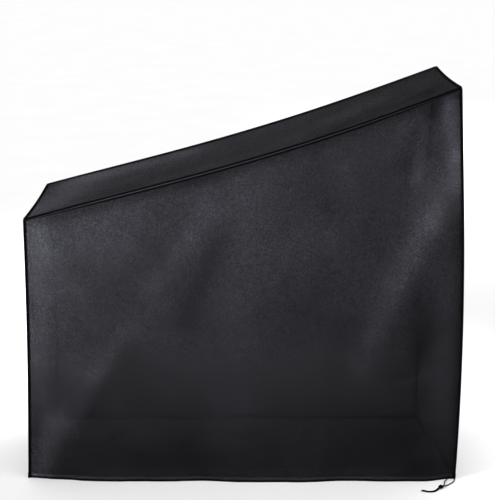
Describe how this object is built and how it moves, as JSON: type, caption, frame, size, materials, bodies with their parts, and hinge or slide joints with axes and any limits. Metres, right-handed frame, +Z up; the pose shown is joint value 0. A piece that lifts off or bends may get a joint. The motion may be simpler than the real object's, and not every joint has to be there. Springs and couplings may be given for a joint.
{
  "type": "exercise bike cover",
  "caption": "Fitted sloping cloth cover for a studio exercise bike, open at the bottom, with bound seams, a hem and a knotted drawcord.",
  "frame": {"origin": "the middle of the cover's box at the floor, where the hem hangs to", "axes": "+X along the cover towards its tall front end, +Y from the near side to the far side, +Z up"},
  "size_m": [1.5626, 0.7631, 1.4266],
  "materials": {
    "cover_cloth": "fine plain weave, coated, soft sheen, slightly sheer",
    "seam_binding": "black woven tape with two rows of stitching",
    "drawcord": "black braided cord"
  },
  "bodies": {
    "root": {"near_side_panel": "cover_cloth", "far_side_panel": "cover_cloth", "top_panel": "cover_cloth", "rear_end_panel": "cover_cloth", "front_end_panel": "cover_cloth", "near_top_binding": "seam_binding", "far_top_binding": "seam_binding", "rear_top_binding": "seam_binding", "front_top_binding": "seam_binding", "near_rear_binding": "seam_binding", "near_front_binding": "seam_binding", "far_rear_binding": "seam_binding", "far_front_binding": "seam_binding", "drawcord_leg_a": "drawcord", "drawcord_tail_a": "drawcord", "drawcord_leg_b": "drawcord", "drawcord_tail_b": "drawcord", "drawcord_knot": "drawcord"}
  },
  "joints": []
}
